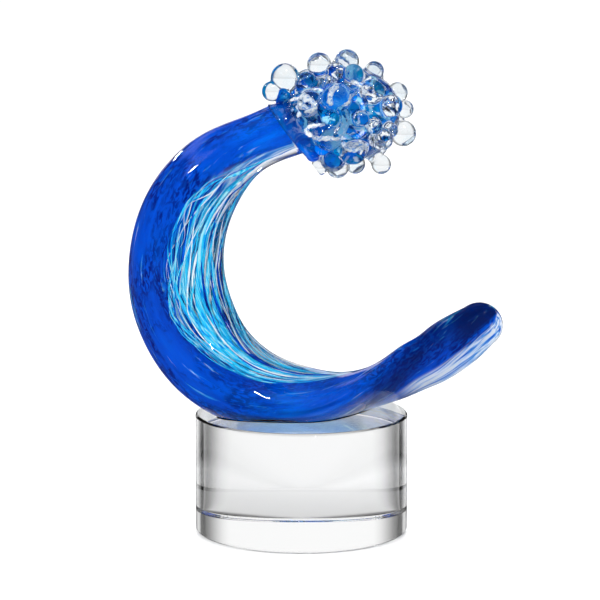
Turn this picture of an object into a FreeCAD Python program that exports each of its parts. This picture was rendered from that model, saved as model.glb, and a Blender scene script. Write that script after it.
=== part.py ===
import FreeCAD, Part

import math
import os

from FreeCAD import Vector

os.makedirs("parts", exist_ok=True)

# Art glass wave sculpture on a round crystal base, in millimetres.
# The origin is the centre of the base's underside, +Z is up, +X is towards the wave's tail
# and -Y is the front. A tapered glass bar curls round an open hollow like a breaking wave:
# its thin neck carries a crest of fused glass drops, and its tail ends in a flat tongue.

# Base: one solid crystal cylinder with polished edges
base_diameter = 89.0
base_height = 50.0
base_bevel = 0.8

# Clear adhesive between the base and the wave's ground flat
bond_thickness = 0.3

# Wave: the bar curls round the hollow's centre, and its lowest side is ground flat
wave_radius = 54.0
wave_offset = 1.5
ground_depth = 5.0

# Stations along the bar: angle round the hollow from +X in degrees, then shares of the
# wave radius for the spine's radius, the section's long half and its short half, then the
# turn of the long half from outwards towards the front in degrees
wave_station_shares = [
    (98.2, 1.040, 0.226, 0.195, 0),
    (112, 1.009, 0.218, 0.214, 0),
    (128, 1.000, 0.272, 0.250, 0),
    (144, 0.992, 0.320, 0.289, 4),
    (160, 0.990, 0.350, 0.313, 8),
    (176, 0.992, 0.368, 0.326, 12),
    (192, 1.003, 0.384, 0.326, 18),
    (208, 1.020, 0.390, 0.304, 27),
    (224, 1.046, 0.397, 0.265, 40),
    (240, 1.058, 0.410, 0.229, 54),
    (256, 1.060, 0.424, 0.207, 68),
    (272, 1.065, 0.433, 0.191, 81),
    (286, 1.084, 0.426, 0.173, 95),
    (298.9, 1.118, 0.405, 0.154, 109),
    (307, 1.148, 0.366, 0.145, 118),
    (315.4, 1.182, 0.326, 0.137, 129),
    (322, 1.239, 0.300, 0.134, 136),
    (328.6, 1.295, 0.284, 0.130, 143),
    (334.5, 1.361, 0.256, 0.122, 148),
    (339.8, 1.436, 0.214, 0.108, 153),
]
tail_round_share = 0.184

# The clear casing is drawn in lengths along the bar: each name, and the angle round the
# hollow where that length ends. The ground flat lies within the foot
casing_lengths = [
    ("neck", 140),
    ("back_upper", 184),
    ("back_lower", 231),
    ("foot", 300),
    ("tail", 360),
]
casing_start_angle = 60
wedge_reach_share = 3.0
wedge_steps = 4

# The neck ends in a plane whose normal leans up from +X by this many degrees
seam_tilt = 37.0

# Cobalt core: shares of the section's own halves, and how it thins over the ground flat
core_shift_share = 0.17
core_long_share = 0.63
core_short_share = 0.72
core_low_short_share = 0.44
core_low_lift_share = 0.32
core_low_middle = 272
core_low_spread = 44
core_end_angle = 334
core_round_share = 0.13

# Streak canes in the clear glass: start and end angle, place round the section from the
# long half in degrees, distance out as a share of the section, radius share of wave radius
cane_shares = [
    (110, 300, 112, 0.80, 0.0150),
    (107, 306, 130, 0.84, 0.0170),
    (114, 322, 146, 0.78, 0.0150),
    (106, 298, 160, 0.86, 0.0165),
    (118, 334, 172, 0.72, 0.0150),
    (109, 310, 186, 0.86, 0.0160),
    (112, 240, 206, 0.82, 0.0160),
    (306, 336, 232, 0.80, 0.0110),
]
cane_round_share = 0.05

# Crest: a swelling glass core turned about an axis that leans up from +X. Its half length
# and its reach out of the neck are shares of its girth. Its profile is in shares of the
# reach, the half length and the girth, and its nose is part of a ball
crest_tilt = 14.0
crest_girth = 20.0
crest_length_share = 1.18
crest_reach_share = 1.225
crest_collar_shares = [(-1.30, 0.58), (-0.88, 0.565)]
crest_flare_share = (-0.62, 0.78)
crest_belly_shares = [(-0.06, 1.0), (0.55, 0.84)]

# Drops on the crest: angle off the crest's axis, clock angle from up through the front,
# radius share of the crest girth, reach of the drop's centre out of the core as a share too
drop_shares = [
    (133, 358, 0.300, 0.36),
    (147, 2, 0.210, 0.44),
    (101, 4, 0.255, 0.17),
    (72, 356, 0.250, 0.11),
    (42, 6, 0.200, 0.05),
    (31, 87, 0.230, 0.07),
    (8, 178, 0.190, 0.10),
    (31, 184, 0.270, 0.18),
    (54, 129, 0.230, 0.09),
    (40, 128, 0.160, 0.06),
    (66, 176, 0.205, 0.26),
    (90, 186, 0.210, 0.06),
    (110, 178, 0.230, 0.07),
    (129, 182, 0.180, 0.14),
    (70, 92, 0.160, 0.05),
    (58, 106, 0.170, 0.06),
    (50, 60, 0.260, 0.03),
    (67, 32, 0.215, 0.05),
    (92, 60, 0.320, -0.06),
    (124, 56, 0.280, -0.02),
    (88, 134, 0.300, -0.05),
    (116, 106, 0.320, -0.12),
    (120, 26, 0.240, 0.10),
    (86, 26, 0.220, 0.06),
    (114, 146, 0.270, -0.02),
    (36, 232, 0.220, 0.12),
    (18, 292, 0.220, 0.10),
    (46, 268, 0.210, 0.09),
    (48, 312, 0.250, 0.06),
    (68, 238, 0.240, 0.06),
    (72, 288, 0.250, 0.03),
    (78, 330, 0.240, 0.09),
    (94, 254, 0.300, -0.06),
    (98, 306, 0.310, -0.04),
    (96, 216, 0.225, 0.05),
    (118, 230, 0.270, 0.00),
    (122, 278, 0.300, -0.06),
    (120, 326, 0.260, 0.08),
    (60, 206, 0.180, 0.08),
]
drop_sink_share = 0.30
drop_waist_share = 0.80

# Curls: clear trails looped on the crest's skin, thick at one end. Angle off the axis,
# clock angle, loop radius and trail radius as shares of the crest girth, start and sweep
curl_shares = [
    (106, 84, 0.34, 0.105, 150, 235),
    (82, 46, 0.30, 0.095, 10, 220),
    (104, 262, 0.36, 0.105, 40, 230),
    (76, 304, 0.30, 0.095, 200, 215),
]
curl_rise_share = 0.03
curl_thin_share = 0.55
curl_steps = 8

# A section is a closed cubic curve on this many poles, and a rounded end adds rings to it
ring_poles = 12
end_rings = 3

overrun = 2.0
full_turn = 360.0
seat_z = base_height + bond_thickness
crest_half_length = crest_length_share * crest_girth
crest_reach = crest_reach_share * crest_girth
front = Vector(0, -1, 0)


def save(node, shape):
    """Writes one closed, valid node."""
    if not shape.isValid() or shape.Volume <= 0:
        raise ValueError(node + " isn't a valid solid")
    shape.exportStep("parts/" + node + ".step")
    print(node, len(shape.Solids), "solid", round(shape.Volume / 1000.0, 3), "cm3")


def ring(centre, long_axis, short_axis, half_long, half_short):
    """The poles of a closed cubic curve that follows an ellipse."""
    step = 2 * math.pi / ring_poles
    swell = 3 / (2 + math.cos(step))
    turns = [k * step for k in range(ring_poles)]
    return [
        centre
        + long_axis * (swell * half_long * math.cos(turn))
        + short_axis * (swell * half_short * math.sin(turn))
        for turn in turns
    ]


def rounded(centre, along, long_axis, short_axis, half_long, half_short):
    """Rings that round an end off over the length of along, and the last one is a point."""
    rings = []
    for k in range(1, end_rings + 1):
        turn = k * math.pi / (2 * end_rings)
        shrink = math.cos(turn) if k < end_rings else 0.0
        place = centre + along * math.sin(turn)
        rings.append(ring(place, long_axis, short_axis, half_long * shrink, half_short * shrink))
    return rings


def skinned(rings):
    """A solid whose smooth skin passes through every ring. Ends that aren't points are flat."""
    parameters = [0.0]
    for low, high in zip(rings, rings[1:]):
        steps = [a.distanceToPoint(b) for a, b in zip(low, high)]
        parameters.append(parameters[-1] + sum(steps) / ring_poles)
    columns = []
    for k in range(ring_poles):
        curve = Part.BSplineCurve()
        curve.interpolate(Points=[row[k] for row in rings], Parameters=parameters)
        columns.append(curve)
    poles = [list(row) for row in zip(*[curve.getPoles() for curve in columns])]
    skin = Part.BSplineSurface()
    skin.buildFromPolesMultsKnots(
        poles,
        columns[0].getMultiplicities(),
        [1] * (ring_poles + 1),
        columns[0].getKnots(),
        list(range(ring_poles + 1)),
        False,
        True,
        columns[0].Degree,
        3,
    )
    side = skin.toShape()
    rims = [edge for edge in side.Edges if edge.Closed and not edge.Degenerated]
    shell = Part.Shell([side] + [Part.Face(Part.Wire([rim])) for rim in rims])
    if rims:
        shell.sewShape()
    solid = Part.Solid(shell)
    if solid.Volume < 0:
        solid.reverse()
    return solid


def hollow_centre():
    """The point that the bar curls round, at the height that grinds the bar to its depth."""
    reach_shares = []
    for angle, spine, long_half, short_half, twist in wave_station_shares:
        down, turn = -math.sin(math.radians(angle)), math.radians(twist)
        half = math.hypot(long_half * math.cos(turn), short_half * math.sin(turn))
        reach_shares.append(down * (spine + half))
    return Vector(wave_offset, 0, seat_z - ground_depth + max(reach_shares) * wave_radius)


def spine_point(angle, radius_share):
    """A point of the bar's spine from its polar place round the hollow."""
    turn = math.radians(angle)
    reach = radius_share * wave_radius
    return hollow_centre() + Vector(math.cos(turn), 0, math.sin(turn)) * reach


def leaning(tilt):
    """The direction that leans up from +X by an angle, and the one square to it."""
    turn = math.radians(tilt)
    return Vector(math.cos(turn), 0, math.sin(turn)), Vector(-math.sin(turn), 0, math.cos(turn))


def station_frames():
    """For each station: centre, tangent, long axis, short axis and the two half sizes.

    The first station lies in the plane where the neck meets the crest.
    """
    centres = [spine_point(row[0], row[1]) for row in wave_station_shares]
    frames = []
    for i, row in enumerate(wave_station_shares):
        before = centres[max(i - 1, 0)]
        after = centres[min(i + 1, len(centres) - 1)]
        tangent = (after - before).normalize() if i else leaning(seam_tilt)[0] * -1
        outward = tangent.cross(front)
        turn = math.radians(row[4])
        frames.append(
            {
                "angle": row[0],
                "centre": centres[i],
                "tangent": tangent,
                "long": outward * math.cos(turn) + front * math.sin(turn),
                "short": front * math.cos(turn) - outward * math.sin(turn),
                "a": row[2] * wave_radius,
                "b": row[3] * wave_radius,
            }
        )
    return frames


def between(frames, angle):
    """A frame at any angle of the bar, blended from the two stations beside it."""
    low, high = [pair for pair in zip(frames, frames[1:]) if pair[0]["angle"] <= angle][-1]
    t = (angle - low["angle"]) / (high["angle"] - low["angle"])
    mixed = {key: low[key] * (1 - t) + high[key] * t for key in low}
    mixed["tangent"] = mixed["tangent"].normalize()
    lean = mixed["tangent"] * mixed["long"].dot(mixed["tangent"])
    mixed["long"] = (mixed["long"] - lean).normalize()
    mixed["short"] = mixed["long"].cross(mixed["tangent"])
    if mixed["short"].dot(low["short"]) < 0:
        mixed["short"] = mixed["short"] * -1
    return mixed


def section(frame, along_share, across_share, half_long, half_short):
    """An elliptic ring in a frame's plane, moved by shares of the frame's halves."""
    shift = frame["long"] * (along_share * frame["a"])
    lift = frame["short"] * (across_share * frame["b"])
    return ring(frame["centre"] + shift + lift, frame["long"], frame["short"], half_long, half_short)


def rounded_section(frame, along_share, across_share, half_long, half_short, reach):
    """The end rings beyond a frame. A negative reach rounds the end towards the neck."""
    shift = frame["long"] * (along_share * frame["a"])
    lift = frame["short"] * (across_share * frame["b"])
    place = frame["centre"] + shift + lift
    along = frame["tangent"] * reach
    return rounded(place, along, frame["long"], frame["short"], half_long, half_short)


def wave_outside(frames):
    """The whole bar, flat at the neck and rounded at the tail's tip."""
    rings = [section(frame, 0, 0, frame["a"], frame["b"]) for frame in frames]
    end = frames[-1]
    reach = tail_round_share * wave_radius
    return skinned(rings + rounded_section(end, 0, 0, end["a"], end["b"], reach))


def ground_flat(shape):
    """The bar ground flat where it is bonded to the base."""
    box = shape.BoundBox
    box.enlarge(overrun)
    corner = Vector(box.XMin, box.YMin, box.ZMin)
    return shape.cut(Part.makeBox(box.XLength, box.YLength, seat_z - box.ZMin, corner))


def wedge(low, high):
    """The space between two angles round the hollow, past both sides of the bar."""
    far = wedge_reach_share * wave_radius
    middle = hollow_centre()
    corners = [middle]
    for k in range(wedge_steps + 1):
        turn = math.radians(low + (high - low) * k / wedge_steps)
        corners.append(middle + Vector(math.cos(turn), 0, math.sin(turn)) * far)
    corners.append(middle)
    side = Part.Face(Part.makePolygon([corner + front * far for corner in corners]))
    return side.extrude(front * (-2 * far))


def core_section_shares(angle):
    """The core's short half and its lift off the flat, which change over the ground flat."""
    away = min(1.0, abs(angle - core_low_middle) / core_low_spread)
    near = (1 + math.cos(math.pi * away)) / 2
    thin = core_short_share + (core_low_short_share - core_short_share) * near
    return thin, core_low_lift_share * near


def wave_core(frames):
    """The coloured glass bar inside the clear casing."""
    chosen = [frame for frame in frames if frame["angle"] < core_end_angle]
    chosen.append(between(frames, core_end_angle))
    rings = []
    for frame in chosen:
        thin, lift = core_section_shares(frame["angle"])
        half_long = core_long_share * frame["a"]
        half_short = thin * frame["b"]
        rings.append(section(frame, core_shift_share, lift, half_long, half_short))
    reach = core_round_share * wave_radius
    end = rounded_section(chosen[-1], core_shift_share, lift, half_long, half_short, reach)
    return skinned(rings + end)


def streak_cane(frames, start, end, place, out_share, radius_share):
    """A thin coloured rod that follows the bar in its clear glass, rounded at both ends."""
    turn = math.radians(place)
    along, across = out_share * math.cos(turn), out_share * math.sin(turn)
    radius = radius_share * wave_radius
    reach = cane_round_share * wave_radius
    first, last = between(frames, start), between(frames, end)
    inner = [frame for frame in frames if start < frame["angle"] < end]
    rings = [section(frame, along, across, radius, radius) for frame in [first] + inner + [last]]
    head = rounded_section(first, along, across, radius, radius, -reach)
    tail = rounded_section(last, along, across, radius, radius, reach)
    return skinned(head[::-1] + rings + tail)


def crest_axes(frames):
    """The crest's middle, axis and up."""
    axis, up = leaning(crest_tilt)
    return frames[0]["centre"] + axis * crest_reach, axis, up


def behind_crest(frames):
    """The space on the neck's side of the plane where the neck meets the crest."""
    size = 2 * (crest_reach + crest_half_length)
    box = Part.makeBox(size, size, size, Vector(-size / 2, -size / 2, 0))
    return turned_to(box, leaning(seam_tilt)[0] * -1, frames[0]["centre"])


def crest_core(frames):
    """The crest's swelling body, turned about its axis and cut flat where the neck meets it."""
    collar = [(x * crest_reach, y * crest_girth) for x, y in crest_collar_shares]
    flare, belly, brow = [
        (x * crest_half_length, y * crest_girth) for x, y in [crest_flare_share] + crest_belly_shares
    ]
    ball_x = (crest_half_length**2 - brow[0] ** 2 - brow[1] ** 2) / (2 * (crest_half_length - brow[0]))
    ball_radius = crest_half_length - ball_x
    half_turn = math.atan2(brow[1], brow[0] - ball_x) / 2
    bend = (ball_x + ball_radius * math.cos(half_turn), ball_radius * math.sin(half_turn))
    back, nose = Vector(collar[0][0], 0, 0), Vector(crest_half_length, 0, 0)
    collar = [Vector(x, y, 0) for x, y in collar]
    flare, belly, brow, bend = [Vector(x, y, 0) for x, y in (flare, belly, brow, bend)]
    edges = [
        Part.LineSegment(back, collar[0]).toShape(),
        Part.LineSegment(collar[0], collar[1]).toShape(),
        Part.LineSegment(collar[1], flare).toShape(),
        Part.Arc(flare, belly, brow).toShape(),
        Part.Arc(brow, bend, nose).toShape(),
        Part.LineSegment(nose, back).toShape(),
    ]
    body = Part.Face(Part.Wire(edges)).revolve(Vector(0, 0, 0), Vector(1, 0, 0), full_turn)
    centre, axis, _ = crest_axes(frames)
    body.Placement = FreeCAD.Placement(centre, FreeCAD.Rotation(Vector(1, 0, 0), axis))
    return without(body, [behind_crest(frames)])


def crest_direction(frames, off_axis, clock):
    """A direction out of the crest's middle, and how far the core's skin is that way."""
    _, axis, up = crest_axes(frames)
    lean, turn = math.radians(off_axis), math.radians(clock)
    round_axis = up * math.cos(turn) + front * math.sin(turn)
    direction = axis * math.cos(lean) + round_axis * math.sin(lean)
    skin = 1 / math.hypot(math.cos(lean) / crest_half_length, math.sin(lean) / crest_girth)
    return direction, skin


def turned_to(shape, direction, place):
    """A shape modelled along +Z at the origin, turned to a direction and moved to a place."""
    shape.Placement = FreeCAD.Placement(place, FreeCAD.Rotation(Vector(0, 0, 1), direction))
    return shape


def foam_drop(frames, off_axis, clock, radius_share, reach_share):
    """A round drop on a tapered root, turned about its own axis."""
    direction, skin = crest_direction(frames, off_axis, clock)
    radius = radius_share * crest_girth
    centre_z = reach_share * crest_girth
    root_z = -drop_sink_share * crest_girth
    waist = drop_waist_share * radius
    waist_z = centre_z - math.sqrt(radius**2 - waist**2)
    foot, heel = Vector(0, 0, root_z), Vector(radius, 0, root_z)
    shoulder, side = Vector(waist, 0, waist_z), Vector(radius, 0, centre_z)
    top = Vector(0, 0, centre_z + radius)
    edges = [
        Part.LineSegment(foot, heel).toShape(),
        Part.LineSegment(heel, shoulder).toShape(),
        Part.Arc(shoulder, side, top).toShape(),
        Part.LineSegment(top, foot).toShape(),
    ]
    face = Part.Face(Part.Wire(edges))
    drop = face.revolve(Vector(0, 0, 0), Vector(0, 0, 1), full_turn)
    return turned_to(drop, direction, crest_axes(frames)[0] + direction * skin)


def crest_curl(frames, off_axis, clock, loop_share, trail_share, start, sweep):
    """An open loop of a clear trail that lies on the crest's skin, thinner towards its end."""
    direction, skin = crest_direction(frames, off_axis, clock)
    loop = loop_share * crest_girth
    stages = []
    for k in range(curl_steps + 1):
        around = math.radians(start + sweep * k / curl_steps)
        radial = Vector(math.cos(around), math.sin(around), 0)
        thin = 1 - (1 - curl_thin_share) * k / curl_steps
        trail = thin * trail_share * crest_girth
        stages.append((radial * loop, radial, Vector(0, 0, 1), trail, trail))
    head, tail = stages[0], stages[-1]
    rings = rounded(head[0], head[1].cross(head[2]) * head[3], *head[1:])[::-1]
    rings += [ring(*stage) for stage in stages]
    rings += rounded(tail[0], tail[2].cross(tail[1]) * tail[3], *tail[1:])
    height = math.sqrt(skin**2 - loop**2) + curl_rise_share * crest_girth
    return turned_to(skinned(rings), direction, crest_axes(frames)[0] + direction * height)


def without(shape, others):
    """A shape less every other one that its box meets. The largest solid left is kept."""
    for other in others:
        if shape.BoundBox.intersect(other.BoundBox):
            shape = shape.cut(other)
    return max(shape.Solids, key=lambda solid: solid.Volume)


def base_cylinder():
    """The crystal base with a polished bevel round both ends."""
    body = Part.makeCylinder(base_diameter / 2, base_height)
    rims = [edge for edge in body.Edges if edge.Closed]
    return body.makeChamfer(base_bevel, rims)


def bond_film(casing):
    """The adhesive film that fills the gap under the whole ground flat."""
    level = [face for face in casing.Faces if abs(face.CenterOfMass.z - seat_z) < bond_thickness]
    flat = max(level, key=lambda face: face.Area)
    return flat.extrude(Vector(0, 0, -bond_thickness))


def main():
    frames = station_frames()
    core = wave_core(frames)
    canes = [streak_cane(frames, *row) for row in cane_shares]
    outside = ground_flat(wave_outside(frames))
    casing = outside.cut(core)
    for cane in canes:
        casing = casing.cut(cane)
    save("base_cylinder", base_cylinder())
    save("bond_film", bond_film(casing))
    start = casing_start_angle
    for name, end in casing_lengths:
        save("wave_casing_" + name, casing.common(wedge(start, end)))
        start = end
    save("wave_core", core)
    for i, cane in enumerate(canes):
        save("streak_cane_%02d" % (i + 1), cane)

    crest = crest_core(frames)
    save("crest_core", crest)
    laid = [crest, behind_crest(frames)]
    for i, row in enumerate(curl_shares):
        laid.append(without(crest_curl(frames, *row), laid))
        save("crest_curl_%02d" % (i + 1), laid[-1])
    for i, row in enumerate(drop_shares):
        laid.append(without(foam_drop(frames, *row), laid))
        save("foam_drop_%02d" % (i + 1), laid[-1])


main()
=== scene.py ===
import bpy
import numpy as np
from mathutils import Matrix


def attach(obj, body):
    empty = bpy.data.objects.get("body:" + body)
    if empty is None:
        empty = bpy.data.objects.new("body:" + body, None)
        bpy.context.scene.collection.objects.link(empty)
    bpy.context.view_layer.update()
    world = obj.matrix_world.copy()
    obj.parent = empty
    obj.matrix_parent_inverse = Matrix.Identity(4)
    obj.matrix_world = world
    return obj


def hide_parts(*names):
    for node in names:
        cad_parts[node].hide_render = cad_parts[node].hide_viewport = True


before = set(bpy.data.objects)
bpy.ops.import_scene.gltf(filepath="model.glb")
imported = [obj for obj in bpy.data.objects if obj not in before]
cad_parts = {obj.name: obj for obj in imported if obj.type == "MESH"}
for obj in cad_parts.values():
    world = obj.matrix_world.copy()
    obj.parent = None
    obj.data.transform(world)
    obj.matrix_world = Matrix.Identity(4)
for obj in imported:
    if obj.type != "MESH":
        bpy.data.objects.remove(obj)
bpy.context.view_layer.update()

import openvdb
from mathutils import Euler, Vector

mm = 0.001  # sizes are worked out in millimetres and go into the scene in metres
chance = np.random.default_rng(7)


# Meshes

def sizeOf(vectors):
    return np.linalg.norm(vectors, axis=-1)


def unit(vectors):
    return vectors / sizeOf(vectors)[..., None]


# The angles round a circle and its points, as shares across and up
def circle(steps):
    turn = np.linspace(0, 2 * np.pi, steps, endpoint=False)
    return turn, np.stack([np.cos(turn), np.sin(turn)], -1)


# The way at an angle of so many degrees from +X towards +Z
def wayAt(degrees):
    angle = np.radians(degrees)
    return np.stack([np.cos(angle), 0 * angle, np.sin(angle)], -1)


# Part of the way round from one direction to another that is square to it
def turned(first, second, angle):
    return first * np.cos(angle) + second * np.sin(angle)


def addObject(name, data):
    item = bpy.data.objects.new(name, data)
    bpy.context.scene.collection.objects.link(item)
    return item


# Faces of closed tubes: quads join the rows of points round each tube, and triangles join a
# pole at either end to its row
def tubeFaces(tubes, rows, columns):
    place = np.arange(tubes * rows * columns).reshape(tubes, rows, columns)
    beside = np.roll(place, -1, axis=2)
    quads = np.stack([place[:, :-1], place[:, 1:], beside[:, 1:], beside[:, :-1]], -1)
    poles = tubes * rows * columns + np.arange(2 * tubes).reshape(tubes, 2)
    wide = (tubes, columns)
    first = np.stack([np.broadcast_to(poles[:, :1], wide), place[:, 0], beside[:, 0]], -1)
    last = np.stack([np.broadcast_to(poles[:, 1:], wide), beside[:, -1], place[:, -1]], -1)
    return quads.reshape(-1, 4), np.concatenate([first, last]).reshape(-1, 3)


# A piece from its points and faces, with values per point as attributes, and its ties to the
# frame. The volume that the faces close in is negative where they point inwards
def buildPiece(name, vertices, quads, triangles, values, material, nodes):
    halves = np.concatenate([quads[:, [0, 1, 2]], quads[:, [0, 2, 3]], triangles])
    a, b, c = (vertices[halves[:, k]] for k in range(3))
    if np.einsum("ij,ij->", a, np.cross(b, c)) < 0:
        quads, triangles = quads[:, ::-1], triangles[:, ::-1]
    mesh = bpy.data.meshes.new(name)
    corners = np.concatenate([quads.ravel(), triangles.ravel()])
    sizes = np.concatenate([np.full(len(quads), 4), np.full(len(triangles), 3)])
    mesh.vertices.add(len(vertices))
    mesh.vertices.foreach_set("co", vertices.astype(np.float32).ravel())
    mesh.loops.add(len(corners))
    mesh.loops.foreach_set("vertex_index", corners.astype(np.int32))
    mesh.polygons.add(len(sizes))
    starts = np.concatenate([[0], np.cumsum(sizes)[:-1]])
    mesh.polygons.foreach_set("loop_start", starts.astype(np.int32))
    mesh.update(calc_edges=True)
    mesh.validate()
    mesh.shade_smooth()
    for label, value in values.items():
        kind, field = {3: ("FLOAT_VECTOR", "vector"), 4: ("FLOAT_COLOR", "color")}[value.shape[-1]]
        layer = mesh.attributes.new(label, kind, "POINT")
        layer.data.foreach_set(field, value.astype(np.float32).ravel())
    mesh.materials.append(material)
    piece = addObject(name, mesh)
    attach(piece, "root")
    if nodes:
        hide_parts(*nodes)
    print(name, len(vertices), "vertices", len(halves), "triangles")
    return piece


# One or more tubes from points in the shape (tubes, rows, columns, 3), in millimetres, with
# a pole beyond each end row, which takes the mean of that row's values
def buildTubes(name, points, poles, values, material, slot, nodes):
    quads, triangles = tubeFaces(*points.shape[:3])
    vertices = np.concatenate([points.reshape(-1, 3), poles.reshape(-1, 3)]) * mm
    flat = {}
    for label, value in values.items():
        parts = (value, value[:, [0, -1]].mean(axis=2))
        flat[label] = np.concatenate([part.reshape(-1, value.shape[-1]) for part in parts])
    buildPiece(name, vertices, quads, triangles, flat, material, nodes)


# The CAD nodes whose names start in one of these ways, in order
def nodesNamed(*starts):
    return sorted(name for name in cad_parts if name.startswith(starts))


# Natural cubic through values at knots: one tridiagonal system gives the second slopes,
# and each span is blended from the values and second slopes at its two ends
def splineThrough(knots, values, at):
    gap = np.diff(knots)
    count = len(knots)
    system = np.eye(count)
    rows = np.arange(1, count - 1)
    system[rows, rows - 1] = gap[:-1]
    system[rows, rows] = 2 * (gap[:-1] + gap[1:])
    system[rows, rows + 1] = gap[1:]
    slopes = np.diff(values, axis=0) / gap[:, None]
    right = np.zeros_like(values)
    right[1:-1] = 6 * (slopes[1:] - slopes[:-1])
    bend = np.linalg.solve(system, right)
    span = np.clip(np.searchsorted(knots, at) - 1, 0, count - 2)
    width = gap[span]
    far = ((at - knots[span]) / width)[:, None]
    near = 1 - far
    curve = ((near**3 - near) * bend[span] + (far**3 - far) * bend[span + 1]) * width[:, None] ** 2 / 6
    return near * values[span] + far * values[span + 1] + curve


# From 0 at the low value to 1 at the high one, as three times the share squared less twice
# the share cubed. With the two exchanged it falls instead
def smoothStep(low, high, value):
    share = np.clip((value - low) / (high - low), 0, 1)
    return share * share * (3 - 2 * share)


# One of two values, or what lies between them by a share
def between(first, second, share):
    return first + (second - first) * share


# A bell curve: e to the power of minus the square of the way off the middle over the width
def bell(value, middle, width):
    return np.exp(-(((value - middle) / width) ** 2))


# Places along a bar and the lean of the ring at each: none along the bar, then from 0 towards
# a quarter turn, where the last rings close its rounded end
def ringsToTip(first, last, rows, tipRows):
    tip = np.linspace(0, np.pi / 2, tipRows + 2)[1:-1]
    distance = np.concatenate([np.linspace(first, last, rows), np.full(tipRows, last)])
    return distance, np.concatenate([np.zeros(rows), tip])


# Low folds that wind along a bar: a sum of sines, each with its share, its turns round the
# bar, the length it runs on for and its start
def foldsAlong(waves, turn, reach):
    parts = (share * np.sin(turns * turn + reach / run + start) for share, turns, run, start in waves)
    return sum(parts)


# Materials

# Adds a shader node. Inputs map a socket's name or number to a value or an output to link
def put(tree, kind, inputs=None, **settings):
    node = tree.nodes.new("ShaderNode" + kind)
    for key, value in settings.items():
        setattr(node, key, value)
    for key, value in (inputs or {}).items():
        if isinstance(value, bpy.types.NodeSocket):
            tree.links.new(value, node.inputs[key])
        else:
            node.inputs[key].default_value = value
    return node


def newMaterial(name):
    material = bpy.data.materials.new(name)
    material.use_nodes = True
    material.node_tree.nodes.clear()
    return material, material.node_tree


def finishMaterial(material, shader):
    put(material.node_tree, "OutputMaterial", {"Surface": shader.outputs["BSDF"]})
    return material


# Colours in linear light
glassColours = {
    "navy": (0, 0.012, 0.12),
    "cobalt": (0, 0.072, 0.6),
    "azure": (0, 0.23, 1),
    "teal": (0, 0.26, 0.56),
    "aqua": (0.03, 0.64, 0.98),
    "pale": (0.42, 0.9, 1),
    "white": (0.93, 0.97, 1),
}


# A colour, or a name's, as four numbers
def solid(colour):
    return (*glassColours.get(colour, colour), 1)


# A ramp through stops, each a place and a colour or the name of one
def ramp(tree, factor, stops):
    node = put(tree, "ValToRGB", {"Fac": factor})
    marks = node.color_ramp.elements
    while len(marks) < len(stops):
        marks.new(0.5)
    for mark, (place, colour) in zip(marks, stops):
        mark.position, mark.color = place, solid(colour)
    return node.outputs["Color"]


# The colours of a mix node are its inputs 6 and 7, and the mixed colour is its output 2
def mix(tree, factor, first, second):
    return put(tree, "Mix", {0: factor, 6: first, 7: second}, data_type="RGBA").outputs[2]


def work(tree, operation, *inputs):
    return put(tree, "Math", dict(enumerate(inputs)), operation=operation).outputs[0]


def times(tree, first, second):
    return work(tree, "MULTIPLY", first, second)


def grey(level):
    return solid((level, level, level))


def greyRamp(tree, factor, stops):
    return ramp(tree, factor, [(place, (level, level, level)) for place, level in stops])


# A value's share of the way from a low to a high one, held between 0 and 1
def opened(tree, value, low, high, kind="SMOOTHSTEP"):
    inputs = {"Value": value, "From Min": low, "From Max": high}
    return put(tree, "MapRange", inputs, interpolation_type=kind).outputs[0]


# Streaks drawn out along the glass: noise read at a place stretched along its first axis,
# with its middle range opened out into a mask
def makeStreakGroup():
    group = bpy.data.node_groups.new("drawnStreaks", "ShaderNodeTree")
    for label in ("Place", "Along", "Across", "Warp", "From", "To"):
        kind = "NodeSocketVector" if label == "Place" else "NodeSocketFloat"
        group.interface.new_socket(label, in_out="INPUT", socket_type=kind)
    group.interface.new_socket("Mask", in_out="OUTPUT", socket_type="NodeSocketFloat")
    given = group.nodes.new("NodeGroupInput").outputs
    size = put(group, "CombineXYZ", {0: given["Along"], 1: given["Across"], 2: given["Across"]})
    place = put(group, "VectorMath", {0: given["Place"], 1: size.outputs[0]}, operation="MULTIPLY")
    grain = {"Scale": 1, "Detail": 4, "Roughness": 0.6, "Distortion": given["Warp"]}
    noise = put(group, "TexNoise", {"Vector": place.outputs[0], **grain})
    mask = opened(group, noise.outputs["Fac"], given["From"], given["To"])
    group.links.new(mask, group.nodes.new("NodeGroupOutput").inputs["Mask"])
    return group


streakGroup = makeStreakGroup()


# The group's mask: grains to a metre along and across, how much they are warped, and the
# range of the noise that is opened out
def streaks(tree, place, along, across, warp, low, high):
    inputs = {"Place": place, "Along": along, "Across": across, "Warp": warp, "From": low, "To": high}
    return put(tree, "Group", inputs, node_tree=streakGroup).outputs["Mask"]


def flowPlace(tree):
    return put(tree, "Attribute", attribute_name="flow").outputs["Vector"]


def objectPlace(tree):
    return put(tree, "TexCoord").outputs["Object"]


# Glass: its colour, how much light goes through, how soft its skin is and how it bends light
def glass(tree, colour, through, rough, ior, **more):
    inputs = {"Base Color": colour, "Transmission Weight": through, "Roughness": rough, "IOR": ior}
    return put(tree, "BsdfPrincipled", {**inputs, **more})


# Clear glass with faint cords in it, so many to a metre, which tint it and ripple its skin
def makeClearGlass(name, tint, ior, place, along, across, ripple):
    material, tree = newMaterial(name)
    cords = streaks(tree, place(tree), along, across, 0.4, 0.3, 0.7)
    colour = ramp(tree, cords, [(0, tint), (1, (1, 1, 1))])
    bump = put(tree, "Bump", {"Height": cords, "Strength": 1, "Distance": ripple})
    return finishMaterial(material, glass(tree, colour, 1, 0, ior, Normal=bump.outputs[0]))


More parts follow.
